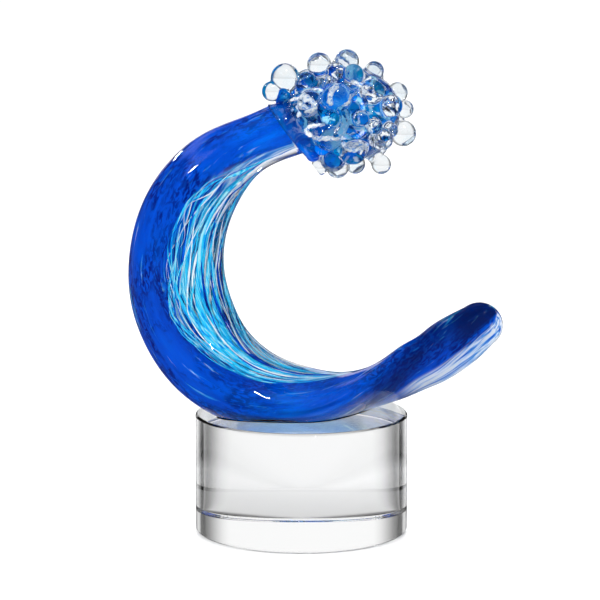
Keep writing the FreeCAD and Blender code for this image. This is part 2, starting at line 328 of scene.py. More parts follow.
# The core's streaks: grains to a metre along and across, warp, and the range opened out
cobalt = {
    "mottles": (330, 900, 0.8, 0.44, 0.55),
    "patches": (42, 110, 0.6, 0.34, 0.58),
    "drift": (30, 170, 0.5, 0.35, 0.68),
    "strands": (26, 620, 0.5, 0.28, 0.74),
    "edge": (40, 420, 0.8, 0.2, 0.8),
    "wisps": (22, 760, 0.4, 0.3, 0.7),
    "bandEdge": (0.7, 1.05),
    "driftShare": 0.55,
    "lit": (0, 0.12, 0.82),
    "dark": (0, 0.01, 0.17),
    "drawn": [
        (0, "navy"), (0.22, "cobalt"), (0.4, (0.005, 0.3, 0.8)), (0.6, "aqua"), (0.8, "pale"), (1, "white"),
    ],
    "frosted": [(0, "cobalt"), (0.35, (0.1, 0.4, 0.85)), (0.6, "white"), (1, "white")],
}


# Cobalt mottled with navy, painted light in azure where the light gets in, and on the inner
# side drawn streaks of aqua and white. The zones attribute says how much of each a place has
def makeCobaltGlass():
    material, tree = newMaterial("cobalt_glass")
    zones = put(tree, "Attribute", attribute_name="zones")
    split = put(tree, "SeparateColor", {0: zones.outputs["Color"]})
    aqua, navy, azure = (split.outputs[k] for k in range(3))
    lit, flow = solid(cobalt["lit"]), flowPlace(tree)
    kinds = ("mottles", "patches", "drift", "strands", "edge", "wisps")
    mottles, patches, drift, threads, edge, wisps = (streaks(tree, flow, *cobalt[k]) for k in kinds)
    body = mix(tree, times(tree, drift, cobalt["driftShare"]), solid("cobalt"), lit)
    body = mix(tree, times(tree, mottles, patches), body, solid(cobalt["dark"]))
    # Painted light: the azure zone turns the body towards azure where the light gets in
    body = mix(tree, azure, body, mix(tree, drift, lit, solid("azure")))
    body = mix(tree, navy, body, solid("navy"))
    band = opened(tree, work(tree, "ADD", aqua, edge), *cobalt["bandEdge"])
    body = mix(tree, band, body, ramp(tree, threads, cobalt["drawn"]))
    body = mix(tree, zones.outputs["Alpha"], body, ramp(tree, wisps, cobalt["frosted"]))
    return finishMaterial(material, glass(tree, body, 0.3, 0.3, 1.02))


# Glass of a drawn thread: one tone for most of it, and darker and lighter runs
def makeStrandGlass(name, low, middle, high, through):
    material, tree = newMaterial(name)
    tone = streaks(tree, flowPlace(tree), 42, 800, 0.8, 0.36, 0.62)
    colour = ramp(tree, tone, [(0, low), (0.3, middle), (0.7, middle), (1, high)])
    return finishMaterial(material, glass(tree, colour, through, 0.15, 1.04))


clearGlass = makeClearGlass("clear_glass", (0.93, 0.965, 1), 1.5, flowPlace, 14, 160, 0.006 * mm)
baseCrystal = makeClearGlass("base_crystal", (0.985, 0.99, 0.99), 1.52, objectPlace, 20, 20, 0)
dropGlass = makeClearGlass("drop_glass", (0.87, 0.95, 1), 1.5, objectPlace, 160, 160, 0.04 * mm)
cobaltGlass = makeCobaltGlass()
aquaGlass = makeStrandGlass("aqua_glass", (0, 0.26, 0.8), "aqua", "pale", 0.15)
whiteGlass = makeStrandGlass("white_glass", (0.35, 0.75, 1), (0.9, 0.97, 1), (1, 1, 1), 0.1)
navyGlass = makeStrandGlass("navy_glass", "navy", "cobalt", "azure", 0.3)
print("materials made")


# Base: a profile of radius and height turned round the Z axis. Short curves round the
# polished bevels, and the rings beside them keep the flats flat
base = {"radius": 44.5, "height": 50, "bevel": 0.8, "rounding": 0.25, "columns": 256}


# A profile with its corners rounded: each becomes points of a short quadratic curve between
# its two sides, with a guard point beside each end
def roundedProfile(corners, rounding, steps=5):
    corners = np.array(corners, float)
    before, here, after = corners[:-2], corners[1:-1], corners[2:]
    into, out = unit(before - here), unit(after - here)
    t = np.linspace(0, 1, steps)[None, :, None]
    start, end = here + into * rounding, here + out * rounding
    curve = (1 - t) ** 2 * start[:, None] + 2 * t * (1 - t) * here[:, None] + t**2 * end[:, None]
    guard = rounding * 0.35
    ends = [(start + into * guard)[:, None], curve, (end + out * guard)[:, None]]
    inner = np.concatenate(ends, axis=1).reshape(-1, 2)
    return np.concatenate([corners[:1], inner, corners[-1:]])


def buildBase():
    r, h, b = base["radius"], base["height"], base["bevel"]
    corners = [(1, 0), (r - b, 0), (r, b), (r, h - b), (r - b, h), (1, h)]
    profile = roundedProfile(corners, base["rounding"])[:, None]
    ring = circle(base["columns"])[1]
    points = np.concatenate([profile[..., :1] * ring, profile[..., 1:] + 0 * ring[:, :1]], -1)
    poles = np.array([[0, 0, 0], [0, 0, h]])
    buildTubes("base", points[None], poles, {}, baseCrystal, "base_crystal", ["base_cylinder"])


buildBase()


# Wave: stations along the bar give the angle round the hollow, then shares of the radius
# for the spine, the section's long half and its short half, then the section's turn
wave = {
    "radius": 54, "hollow": (1.5, 0, 113.9), "seat": 50.3, "seamTilt": 37, "tailRound": 9.9,
    "stations": [
        (98.2, 1.04, 0.226, 0.195, 0), (112, 1.009, 0.218, 0.214, 0),
        (128, 1.0, 0.272, 0.25, 0), (144, 0.992, 0.32, 0.289, 4),
        (160, 0.99, 0.35, 0.313, 8), (176, 0.992, 0.368, 0.326, 12),
        (192, 1.003, 0.384, 0.326, 18), (208, 1.02, 0.39, 0.304, 27),
        (224, 1.046, 0.397, 0.265, 40), (240, 1.058, 0.41, 0.229, 54),
        (256, 1.06, 0.424, 0.207, 68), (272, 1.065, 0.433, 0.191, 81),
        (286, 1.084, 0.426, 0.173, 95), (298.9, 1.118, 0.405, 0.154, 109),
        (307, 1.148, 0.366, 0.145, 118), (315.4, 1.182, 0.326, 0.137, 129),
        (322, 1.239, 0.3, 0.134, 136), (328.6, 1.295, 0.284, 0.13, 143),
        (334.5, 1.361, 0.256, 0.122, 148), (339.8, 1.436, 0.214, 0.108, 153),
    ],
}
frontWay = np.array([0.0, -1.0, 0.0])


# The stations' distances along the spine, and for each the spine's point, the section's long
# and short arms, the angle round the hollow and the section's turn
def makeWaveTable():
    angle, *shares, turn = np.array(wave["stations"], float).T[..., None]
    reach, long, short = (wave["radius"] * share for share in shares)
    spine = reach * wayAt(angle[:, 0]) + wave["hollow"]
    ahead = np.gradient(spine, axis=0)
    ahead[0] = -wayAt(wave["seamTilt"])
    ahead = unit(ahead)
    outward, lean = np.cross(ahead, frontWay), np.radians(turn)
    longArm, shortArm = long * turned(outward, frontWay, lean), short * turned(frontWay, -outward, lean)
    distance = np.concatenate([[0], np.cumsum(sizeOf(np.diff(spine, axis=0)))])
    return distance, np.concatenate([spine, longArm, shortArm, angle, turn], 1), ahead[-1]


waveDistance, waveTable, tailWay = makeWaveTable()
waveLength = waveDistance[-1]


# The spine's point, the two arms, the angle and the turn at distances along the spine, on
# cubics through the stations
def waveFrame(distance):
    values = splineThrough(waveDistance, waveTable, np.clip(distance, 0, waveLength))
    return values[:, :3], values[:, 3:9].reshape(-1, 2, 3), values[:, 9], values[:, 10]


# The distance along the spine at an angle round the hollow, evenly between two stations
def distanceAt(angle):
    return np.interp(angle, waveTable[:, 9], waveDistance)


# Where glass is, in the straightened bar: distance along, then the place in the section
def flowOf(distance, arms, shares):
    along = distance[..., None, None] + 0 * shares[..., :1]
    return np.concatenate([along, sizeOf(arms)[..., None, :] * shares], -1) * mm


# The angle round the spine of a place in the section, in degrees from outward and growing
# towards the front: the section's turn plus the arc tangent of the two reaches
def roundSpine(flow, sectionTurn):
    around = sectionTurn[..., None] + np.degrees(np.arctan2(flow[..., 2], flow[..., 1]))
    return (around + 180) % 360 - 180


# Where the band of drawn streaks starts round the spine, by the angle round the hollow
bandStarts = [
    (98, 158), (115, 132), (135, 100), (150, 85), (200, 79),
    (230, 106), (267, 134), (291, 158), (303, 174), (312, 184),
]


def bandStart(angle):
    return np.interp(angle, *np.array(bandStarts).T)


# The casing: an ellipse carried along the spine, with low ripples that run with the flow and
# only lower the skin, and rounded off at the tail. What lies under the seat is ground flat
casing = {
    "rows": 400, "tipRows": 26, "columns": 176, "smoothNeck": 12,
    "ripple": 0.08, "ripples": [(1, 5, 17, 0), (1, 9, -23, 1), (0.7, 14, 11, 2)],
}


def buildCasing():
    distance, lean = ringsToTip(0, waveLength, casing["rows"], casing["tipRows"])
    spine, arms = waveFrame(distance)[:2]
    turn, ring = circle(casing["columns"])
    level, reach = np.cos(lean)[:, None], distance[:, None]
    shares = level[..., None] * ring
    peak = sum(share for share, *_ in casing["ripples"])
    ripples = casing["ripple"] * (foldsAlong(casing["ripples"], turn, reach) - peak)
    ripples *= level * smoothStep(0, casing["smoothNeck"], reach)
    grow = 1 + ripples / sizeOf(arms[:, :1])
    push = tailWay * (wave["tailRound"] * np.sin(lean))[:, None]
    points = (spine + push)[:, None] + (shares * grow[..., None]) @ arms
    points[..., 2] = np.maximum(points[..., 2], wave["seat"])
    poles = np.array([spine[0], spine[-1] + tailWay * wave["tailRound"]])
    values = {"flow": flowOf(distance, arms, shares)[None]}
    nodes = nodesNamed("wave_casing")
    buildTubes("wave_clear", points[None], poles, values, clearGlass, "clear_glass", nodes)


buildCasing()


# The coloured core inside it, moved towards the outer side, lifted over the ground flat, and
# fuller from the seat on to the tail. Pairs of angles round the hollow say where it changes,
# and a line of navy follows a path of angles round the hollow and the spine
core = {
    "rows": 300, "tipRows": 14, "columns": 120,
    "shift": 0.17, "longShare": 0.66, "shortShare": 0.74,
    "lift": 0.08, "liftMiddle": 272, "liftSpread": 44, "overSeat": 0.4,
    "startInset": 0.1, "endAngle": 339.8, "tipReach": 8.2,
    "fullAngles": (254, 290), "fullShift": 0.02, "fullLongShare": 0.87,
    "tailAngles": (284, 324), "tailShortShare": 0.8,
    "fold": 0.35, "folds": [(1, 6, 9, 0), (1, 11, -13, 0), (1, 17, 7, 0)],
    "navyPath": [(262, 8), (280, 42), (288, 58), (301, 85), (316, 114), (326, 140), (345, 170)],
}


# Shares of aqua streaks, navy, azure and clear wisps: products of steps or bells of the angle
# round the hollow and the one round the spine from outward, in degrees. The azure is painted
# light, put where the light gets in. Where several overlap the greatest counts, but the two of
# azure painted light are added
def coreZones(angle, around):
    aside = np.abs(around)
    starts = bandStart(angle) - np.where(around < 0, 14, 0)
    aqua = smoothStep(starts - 14, starts + 16, aside)
    navyOff = (around - np.interp(angle, *np.array(core["navyPath"]).T) + 180) % 360 - 180
    navyLine = bell(navyOff, 0, 22) * smoothStep(262, 274, angle)
    navyInside = smoothStep(310, 326, angle) * smoothStep(100, 135, aside)
    navyEnd = smoothStep(326, 338, angle) * smoothStep(70, 100, aside)
    navy = np.maximum(0.75 * np.maximum(navyLine, navyInside), navyEnd)
    # Painted light: azure painted where the light gets in, at the neck and at the foot
    paintedLightNeck = 0.9 * smoothStep(130, 104, angle) * bell(aside, 90, 50)
    paintedLightFoot = 1.2 * bell(angle, 274, 25) * bell(around, 55, 56)
    frostTail = smoothStep(302, 316, angle) * smoothStep(66, 40, aside)
    frostNeck = 0.9 * smoothStep(146, 118, angle) * aqua
    azure, frost = np.clip(paintedLightNeck + paintedLightFoot, 0, 1), np.maximum(frostTail, frostNeck)
    return np.stack([aqua, navy, azure, frost], -1)


def buildCore():
    last = distanceAt(core["endAngle"])
    distance, lean = ringsToTip(core["startInset"], last, core["rows"], core["tipRows"])
    spine, arms, angle, sectionTurn = waveFrame(distance)
    full, tail = (smoothStep(*core[name], angle) for name in ("fullAngles", "tailAngles"))
    away = np.clip(np.abs(angle - core["liftMiddle"]) / core["liftSpread"], 0, 1)
    lift = core["lift"] * (1 + np.cos(np.pi * away)) / 2 * (1 - tail)
    off = np.stack([between(core["shift"], core["fullShift"], full), lift], -1)[:, None]
    wide = between(core["longShare"], core["fullLongShare"], full)
    thin = between(core["shortShare"], core["tailShortShare"], tail)
    turn, ring = circle(core["columns"])
    folds = core["fold"] * foldsAlong(core["folds"], turn, distance[:, None])
    grow = np.cos(lean)[:, None] * (1 + folds / sizeOf(arms[:, :1]))
    shares = off + np.stack([wide, thin], -1)[:, None] * ring * grow[..., None]
    push = core["tipReach"] * unit(np.diff(waveFrame(np.array([last - 1, last]))[0], axis=0))
    points = (spine + push * np.sin(lean)[:, None])[:, None] + shares @ arms
    points[..., 2] = np.maximum(points[..., 2], wave["seat"] + core["overSeat"])
    middle = spine + (off @ arms)[:, 0]
    poles = np.array([middle[0], middle[-1] + push[0]])
    flow = flowOf(distance, arms, shares)
    zones = coreZones(angle[:, None] + 0 * turn, roundSpine(flow, sectionTurn))
    values = {"flow": flow[None], "zones": zones[None]}
    buildTubes("wave_core_glass", points[None], poles, values, cobaltGlass, "cobalt_glass", ["wave_core"])


buildCore()


# Strands: thin flattened threads in the clear casing beside the core. Each keeps to a lane of
# the band round the section and wanders a little. The depths are shares of the way out to the
# skin: least by the band's edges, least in its middle, greatest
strands = {
    "rows": 110, "columns": 8,
    "begin": (103, 196), "length": (45, 170), "last": 310,
    "lanes": (-1, 0.85), "wander": 0.07, "wanders": (5, 12),
    "depths": (0.82, 0.6, 0.94), "overSeat": 1.2, "point": 0.3, "apart": 40,
}


# Points, poles and flow of threads between limits of width and thickness. Each one's length,
# lane, depth and size is drawn by chance, and it thins out at both ends by a power of the sine
# along it
def strandPoints(count, width, thickness):
    def drawn(limits):
        return chance.uniform(*limits, (count, 1))

    rows, half = strands["rows"], 180
    share = np.linspace(0, 1, rows)[None]
    begin = drawn(strands["begin"])
    finish = np.minimum(begin + drawn(strands["length"]), strands["last"])
    angle = between(begin, finish, share)
    lane = drawn(strands["lanes"])
    lane = lane + strands["wander"] * np.sin(share * drawn(strands["wanders"]) + drawn((0, 6)))
    around = half + lane * np.maximum(half + 4 - bandStart(angle), 4)
    distance = distanceAt(angle)
    parts = (v.reshape(count, rows, *v.shape[1:]) for v in waveFrame(distance.ravel()))
    spine, arms, _, sectionTurn = parts
    lean, (long, short) = np.radians(around - sectionTurn), np.moveaxis(sizeOf(arms), -1, 0)
    turn = np.arctan2(np.sin(lean) / short, np.cos(lean) / long)
    edge, centre, outer = strands["depths"]
    inner = between(edge, centre, smoothStep(60, 10, np.abs(around - half)))
    out = between(inner, outer, drawn((0, 1)))
    shares = (out[..., None] * np.stack([np.cos(turn), np.sin(turn)], -1))[..., None, :]
    middle = spine + (shares @ arms)[..., 0, :]
    ahead, away = unit(np.gradient(middle, axis=1)), unit(middle - spine)
    taper = np.sin(np.pi * np.clip(share, 0.004, 0.996)) ** 0.6
    narrow = between(0.3, 1, smoothStep(1, 0.55, np.abs(lane)))
    uneven = 1 + 0.35 * np.sin(share * 21 + 9 * lane)
    wide, thick = drawn(width) * taper * narrow * uneven, drawn(thickness) * taper
    off = np.stack([wide, thick], -1)[..., None, :] * circle(strands["columns"])[1]
    points = middle[:, :, None] + off @ np.stack([np.cross(ahead, away), away], -2)
    ends = np.array([-strands["point"], strands["point"]])[None, :, None]
    poles = middle[:, [0, -1]] + ahead[:, [0, -1]] * ends
    flow = flowOf(distance, arms, shares + 0 * off)
    flow[..., 1] += (off[..., 0] + strands["apart"] * lane[..., :1, None]) * mm
    clear = (points[..., 2] >= wave["seat"] + strands["overSeat"]).all(axis=(1, 2))
    return points[clear], poles[clear], flow[clear]


def buildStrands():
    canes = nodesNamed("streak_cane")
    kinds = [
        ("aqua_strands", 84, (0.45, 1.6), (0.1, 0.25), aquaGlass, "aqua_glass", canes[::2]),
        ("white_strands", 58, (0.16, 0.56), (0.08, 0.18), whiteGlass, "white_glass", canes[1::2]),
        ("navy_strands", 26, (0.3, 1.0), (0.08, 0.18), navyGlass, "cobalt_glass", []),
    ]
    for name, count, width, thickness, *ties in kinds:
        points, poles, flow = strandPoints(count, width, thickness)
        buildTubes(name, points, poles, {"flow": flow}, *ties)


buildStrands()
print("wave made")


# Crest: drops and curls fused to a swelling body of glass. Their rows give the angles off its
# axis and round it from up through the front, two shares of the girth for radius and height
# or thickness, and a curl's start and sweep
crest = {
    "middle": (17.27, 0, 175.43),
    "tilt": 14, "halfLength": 23.6, "girth": 20, "slopeShare": 0.86, "colourDepth": (1.2, 8.5),
    "sink": 6, "waist": 0.8, "voxel": 0.45, "blend": 1.5, "lip": (11.9, 10.4, 0.7),
    "profile": [
        (-34, 11.4), (-26, 11.4), (-21.6, 11.7), (-14.6, 15.6), (-8, 18.6), (-1.4, 20), (6, 19.2),
        (13, 16.6), (18, 12.8), (21.5, 8.6), (23.2, 4.5), (23.8, 0), (30, -12),
    ],
    "drops": [
        (133, 358, 0.3, 0.36), (147, 2, 0.21, 0.44), (101, 4, 0.255, 0.17), (72, 356, 0.25, 0.11),
        (42, 6, 0.2, 0.05), (31, 87, 0.23, 0.07), (8, 178, 0.19, 0.1), (31, 184, 0.27, 0.18),
        (54, 129, 0.23, 0.09), (40, 128, 0.16, 0.06), (66, 176, 0.205, 0.26), (90, 186, 0.21, 0.06),
        (110, 178, 0.23, 0.07), (129, 182, 0.18, 0.14), (70, 92, 0.16, 0.05), (58, 106, 0.17, 0.06),
        (50, 60, 0.26, 0.03), (67, 32, 0.215, 0.05), (92, 60, 0.32, -0.06), (124, 56, 0.28, -0.02),
        (88, 134, 0.3, -0.05), (116, 106, 0.32, -0.12), (120, 26, 0.24, 0.1), (86, 26, 0.22, 0.06),
        (114, 146, 0.27, -0.02), (36, 232, 0.22, 0.12), (18, 292, 0.22, 0.1), (46, 268, 0.21, 0.09),
        (48, 312, 0.25, 0.06), (68, 238, 0.24, 0.06), (72, 288, 0.25, 0.03), (78, 330, 0.24, 0.09),
        (94, 254, 0.3, -0.06), (98, 306, 0.31, -0.04), (96, 216, 0.225, 0.05), (118, 230, 0.27, 0),
        (122, 278, 0.3, -0.06), (120, 326, 0.26, 0.08), (60, 206, 0.18, 0.08),
    ],
    "curls": [
        (106, 84, 0.34, 0.105, 150, 235), (82, 46, 0.3, 0.095, 10, 220),
        (104, 262, 0.36, 0.105, 40, 230), (76, 304, 0.3, 0.095, 200, 215),
    ],
}
crestMiddle = np.array(crest["middle"])
crestSeam = np.array([-6.5, 0.0, 169.5])
tilts = (crest["tilt"], crest["tilt"] + 90, wave["seamTilt"])
crestAxis, crestUp, seamWay = (wayAt(degrees) for degrees in tilts)


# A direction out of the crest's middle and how far off an ellipsoid's skin is that way
def crestWay(offAxis, clock):
    lean, turn = np.radians(offAxis), np.radians(clock)
    way = turned(crestAxis, turned(crestUp, frontWay, turn), lean)
    skin = 1 / np.hypot(np.cos(lean) / crest["halfLength"], np.sin(lean) / crest["girth"])
    return way, skin


# Distances to the glass on a box of points round the crest. Negative is inside
class Field:
    far = 5.0

    def __init__(self, voxel):
        self.low, self.voxel = crestMiddle - [36, 31, 34], voxel
        self.counts = np.ceil((crestMiddle + [34, 31, 34] - self.low) / voxel).astype(int) + 1
        self.axes = [self.low[k] + voxel * np.arange(self.counts[k]) for k in range(3)]
        self.values = np.full(self.counts, 99.0, np.float32)

    # The part of the box within a reach of a place, as slices and as points
    def near(self, place, reach):
        ends = [(place - reach - self.low) / self.voxel, (place + reach - self.low) / self.voxel + 1]
        first, last = (np.clip(end, 0, self.counts).astype(int) for end in ends)
        cuts = tuple(slice(a, b) for a, b in zip(first, last))
        grid = np.meshgrid(*[axis[cut] for axis, cut in zip(self.axes, cuts)], indexing="ij")
        return cuts, np.stack(grid, -1)

    # Joins a distance with a fillet of the blend's width: the lesser of the two, less the
    # square of how far they overlap within the blend, over four times the blend
    def join(self, cuts, distance, blend):
        old = self.values[cuts]
        bridge = np.maximum(blend - np.abs(old - distance), 0) / blend
        self.values[cuts] = np.minimum(old, distance) - bridge**2 * blend / 4

    def ball(self, place, radius, blend):
        cuts, points = self.near(place, radius + 3 * blend + 2)
        self.join(cuts, sizeOf(points - place) - radius, blend)

    # A rod between two places whose radius changes evenly: the distance to the nearest point
    # of its middle line, less the radius there
    def rod(self, first, second, radius1, radius2, blend):
        along = second - first
        reach = sizeOf(along) / 2 + max(radius1, radius2)
        cuts, points = self.near((first + second) / 2, reach + 3 * blend + 2)
        share = np.clip(((points - first) @ along) / (along @ along), 0, 1)
        off = sizeOf(points - first - share[..., None] * along)
        self.join(cuts, off - between(radius1, radius2, share), blend)

    def rods(self, places, sizes, blend):
        for k in range(len(places) - 1):
            self.rod(places[k], places[k + 1], sizes[k], sizes[k + 1], blend)

    def whole(self):
        return self.near(crestMiddle, 60)

    # Takes away what lies behind the seam's plane, as far as the gap in front of it
    def cutAtSeam(self, gap):
        cuts, points = self.whole()
        self.values[cuts] = np.maximum(self.values[cuts], gap - (points - crestSeam) @ seamWay)

    def mesh(self):
        grid = openvdb.FloatGrid(background=self.far)
        grid.copyFromArray(np.clip(self.values, -self.far, self.far).astype(np.float32))
        points, triangles, quads = grid.convertToPolygons(isovalue=0.0, adaptivity=0.0)
        return points * self.voxel + self.low, np.asarray(quads, int), np.asarray(triangles, int)


# The body: distance off the crest's axis less the profile's mean radius over a short run
# there, set in by one depth at the seam and another beyond it, and with low folds
def crestBody(field, inset, folds):
    cuts, points = field.whole()
    rel = points - crestMiddle
    along = rel @ crestAxis
    off = sizeOf(rel - along[..., None] * crestAxis)
    places = np.array(crest["profile"], float)
    dense = np.linspace(places[0, 0], places[-1, 0], 400)
    radii = np.pad(np.interp(dense, *places.T), 9, mode="edge")
    radius = np.interp(along, dense, np.convolve(radii, np.ones(19) / 19, "valid"))
    x, y, z = np.moveaxis(rel, -1, 0)
    waves = np.sin(x / 3.1 + 2 * np.sin(z / 4.3)) * np.cos(y / 3.7 + z / 5)
    deep = between(*inset, smoothStep(-19, -5, along))
    body = (off - radius) * crest["slopeShare"] + deep + folds * waves
    field.values[cuts] = np.minimum(field.values[cuts], body)


# The lip where the crest's glass ends on the neck: an ellipse round the seam, with its
# half widths across and to the front, and the bead's radius
def seamLip(steps=40):
    wide, deep, bead = crest["lip"]
    turn = np.linspace(0, 2 * np.pi, steps)[:, None]
    ring = turned(np.cross(seamWay, frontWay) * wide, frontWay * deep, turn)
    return crestSeam + seamWay * bead * 0.6 + ring, np.full(steps, bead)


# A curl's points and radii: part of a circle that lies on the skin round a way out of the
# middle. Its height is the root of the skin's distance squared less the circle's radius
# squared, and a little more
def curlPath(offAxis, clock, loop, trail, start, sweep, steps=12):
    way, skin = crestWay(offAxis, clock)
    side = unit(np.cross(way, crestAxis))
    around = np.radians(start + sweep * np.linspace(0, 1, steps))[:, None]
    radius = loop * crest["girth"]
    ring = radius * turned(side, np.cross(way, side), around)
    height = np.sqrt(skin**2 - radius**2) + 0.8
    return crestMiddle + way * height + ring, trail * crest["girth"] * np.linspace(1, 0.55, steps)


# Coloured glass under the skin: its colour, its reach right of and above the middle, its share
# of the way to the front skin and its radius. The back has the same with the colours moved on
spots = [
    ("cobalt", -22.5, 3.9, 0.7, 2.1), ("cobalt", -20.8, -0.9, 0.8, 2.4), ("cobalt", -17.5, -9.1, 0.8, 3.2),
    ("cobalt", -12.5, -15.3, 0.8, 3.2), ("navy", -19.6, 2.8, 0.9, 1.9), ("cobalt", -9.1, 4.7, 0.85, 2.5),
    ("navy", -12.5, 0.8, 0.86, 2), ("teal", -5.3, 1.2, 0.85, 4), ("azure", -8.7, -11.8, 0.85, 3.3),
    ("teal", -2, -12.5, 0.85, 2.9), ("azure", -4.1, -16.7, 0.8, 2.5), ("teal", 3.8, -15.3, 0.8, 2.1),
    ("azure", 4.3, 8.7, 0.9, 1.9), ("azure", 8.9, 8.2, 0.9, 1.7), ("navy", 6.8, 7.3, 0.85, 1.7),
    ("navy", 2.2, -3.8, 0.88, 2.1), ("azure", 5.1, -6, 0.9, 2.1), ("cobalt", 8, -4.4, 0.9, 1.7),
    ("azure", 7.6, 4.9, 0.94, 1.4), ("azure", 10.9, 1, 0.94, 1.4), ("azure", -12.9, 16, 0.5, 2.1),
    ("teal", -17, 11.5, 0.8, 2.5), ("azure", 0.5, 18.5, 0.5, 2.2), ("teal", 5.5, 17.4, 0.5, 1.8),
    ("teal", 12.2, 15.2, 0.5, 1.5), ("navy", 13.5, 12, 0.8, 1.8), ("teal", 15, -11.2, 0.7, 1.6),
    ("navy", 12.2, -12, 0.8, 1.4), ("teal", -24, 8, 0.4, 2.2), ("cobalt", -1.2, 15.3, 0.8, 1.8),
    ("azure", -7.4, 11.2, 0.9, 1.8), ("navy", 17.8, 0.3, 0.8, 1.4), ("cobalt", -19.5, -4.5, 0.8, 2.8),
    ("azure", -15.2, -12.4, 0.8, 2.4), ("cobalt", -22.2, 1.5, 0.6, 2.4),
]

# Veins in the top lobes: a colour, a radius and reaches right and up
veins = [
    ("teal", 0.8, [(-28.9, 12.5), (-29.2, 15.6), (-28, 18.6), (-25.5, 20.4)]),
    ("teal", 0.9, [(-20.8, 19.3), (-19.2, 16.5), (-19.4, 12.5)]),
    ("azure", 1.3, [(-13, 18.6), (-9, 17.8), (-6.5, 19.3)]),
    ("teal", 0.6, [(-14, 20.2), (-13.6, 23.3), (-11.5, 25.2)]),
    ("teal", 0.9, [(-31.5, 7.5), (-32.2, 10.5), (-31, 13)]),
    ("cobalt", 1.4, [(-26.5, 5), (-26, 9), (-24.5, 11)]),
    ("cobalt", 1, [(-21, 9.5), (-14, 12.5), (-7, 12), (0, 16.5)]),
    ("azure", 0.7, [(-20, 7.5), (-12, 10), (-4, 13.5)]),
]

# Frosted trails on the skin: the radius, then reaches right and up
trails = [
    (0.8, [(-21.6, 5.9), (-18.9, 7.8), (-14.3, 7.7), (-12, 5.7), (-14.6, 4.4)]),
    (0.8, [(-18.9, 4.9), (-17.6, 3.4), (-18.3, 1.3)]),
    (0.7, [(-16.6, 6.2), (-15.2, 5.6)]),
    (0.75, [(-8.3, -1.8), (-13.7, -2.7), (-15, -5.1), (-11.2, -6.9), (-5.3, -7), (0.5, -6.9)]),
    (0.9, [(-0.3, -9.2), (3.8, -12.2), (9.7, -10.2)]),
    (0.7, [(1.7, -10.2), (6, -10), (8.7, -12.6)]),
    (1.2, [(-7.4, -18.6), (-3.7, -19.4), (0.5, -18.2)]),
    (0.9, [(3.8, 15.7), (7.6, 13.8), (9.7, 15.4)]),
    (0.7, [(-4.9, 7.4), (-4.7, 10.2), (-2.9, 12.6)]),
    (0.5, [(2.2, 10.4), (1.6, 8.2), (-0.6, 6.8)]),
    (0.6, [(-20.5, 9.4), (-14, 12), (-8, 11.8)]),
    (0.6, [(9, -1.6), (11.4, -3.4), (12, -6.4)]),
]


# A place by its reach right of and above the crest's middle and its share of the way to the
# skin of an ellipsoid at the front, or at the back where it is negative
def crestSpot(right, up, depth):
    flat = np.array([right, 0, up])
    along, off = flat @ crestAxis, flat @ crestUp
    left = 1 - (along / crest["halfLength"]) ** 2 - (off / crest["girth"]) ** 2
    return crestMiddle + flat + frontWay * depth * crest["girth"] * np.sqrt(max(left, 0.02))


def crestSpots():
    names = [row[0] for row in spots]
    sides = ((1, names), (-1, names[7:] + names[:7]))
    return [
        (name, crestSpot(right, up, side * depth), size)
        for side, colours in sides for name, (_, right, up, depth, size) in zip(colours, spots)
    ]


# A smooth path through reaches right and up at a depth, with so many points to a knot
def crestPath(path, depth, dense):
    places = np.array([crestSpot(right, up, depth) for right, up in path])
    knots = np.arange(len(places))
    return splineThrough(knots, places, np.linspace(0, knots[-1], dense * len(places)))


# The coloured balls along the veins. The last two lie on the skin at the front and back
def veinSpots():
    balls = []
    for number, (name, size, path) in enumerate(veins):
        for depth in (0.96, -0.96) if number > len(veins) - 3 else (0,):
            balls += [(name, place, size) for place in crestPath(path, depth, 8)]
    return balls


# The crest's colouring: how far a spot's colour carries, the share and colour of the glass
# between, where it turns from calm to busy in front of the seam, and its marks, each with
# grains to a metre, warp, the range opened out, its share and its colour. The white mark is
# painted glints: painted highlights scattered through the glass
crestLook = {
    "carry": 1.1, "between": 0.1, "plain": (0, 0.2, 0.75), "calm": 0.1, "busyFrom": (2, 12),
    "marks": [
        (120, 1.4, 0.46, 0.56, 0.7, "teal"), (90, 1.4, 0.5, 0.6, 0.7, "azure"),
        (140, 1.4, 0.5, 0.58, 0.85, "navy"), (105, 1.4, 0.54, 0.6, 0.85, "pale"),
        # Painted highlights: white glints scattered through the crest's glass
        (210, 1.6, 0.56, 0.61, 0.8, "white"),
    ],
}


# Each point's colour: the mean of the spots' colours, weighted by a bell of how far off their
# skins are. The fourth value is how busy the glass is
def spotColours(points, places):
    names, middles, sizes = zip(*places)
    far = sizeOf(points[:, None] - np.array(middles)) - np.array(sizes)
    weight = bell(np.maximum(far, 0), 0, crestLook["carry"])
    total = weight.sum(axis=1, keepdims=True) + crestLook["between"]
    plain = crestLook["between"] * np.array(crestLook["plain"])
    shades = (weight @ np.array([glassColours[name] for name in names]) + plain) / total
    busy = smoothStep(*crestLook["busyFrom"], (points - crestSeam) @ seamWay)
    return np.concatenate([shades, between(crestLook["calm"], 1, busy)[:, None]], 1)


def makeCrestGlass():
    material, tree = newMaterial("crest_glass")
    place = objectPlace(tree)
    given = put(tree, "Attribute", attribute_name="tint")
    tint = body = given.outputs["Color"]
    # Each mark mixes in a glass colour, and the white one paints glints, which are painted highlights
    for grains, warp, low, high, share, name in crestLook["marks"]:
        mark = streaks(tree, place, grains, grains, warp, low, high)
        body = mix(tree, times(tree, mark, share), body, solid(name))
    body = mix(tree, given.outputs["Alpha"], tint, body)
    return finishMaterial(material, glass(tree, body, 0.6, 0.06, 1.05))


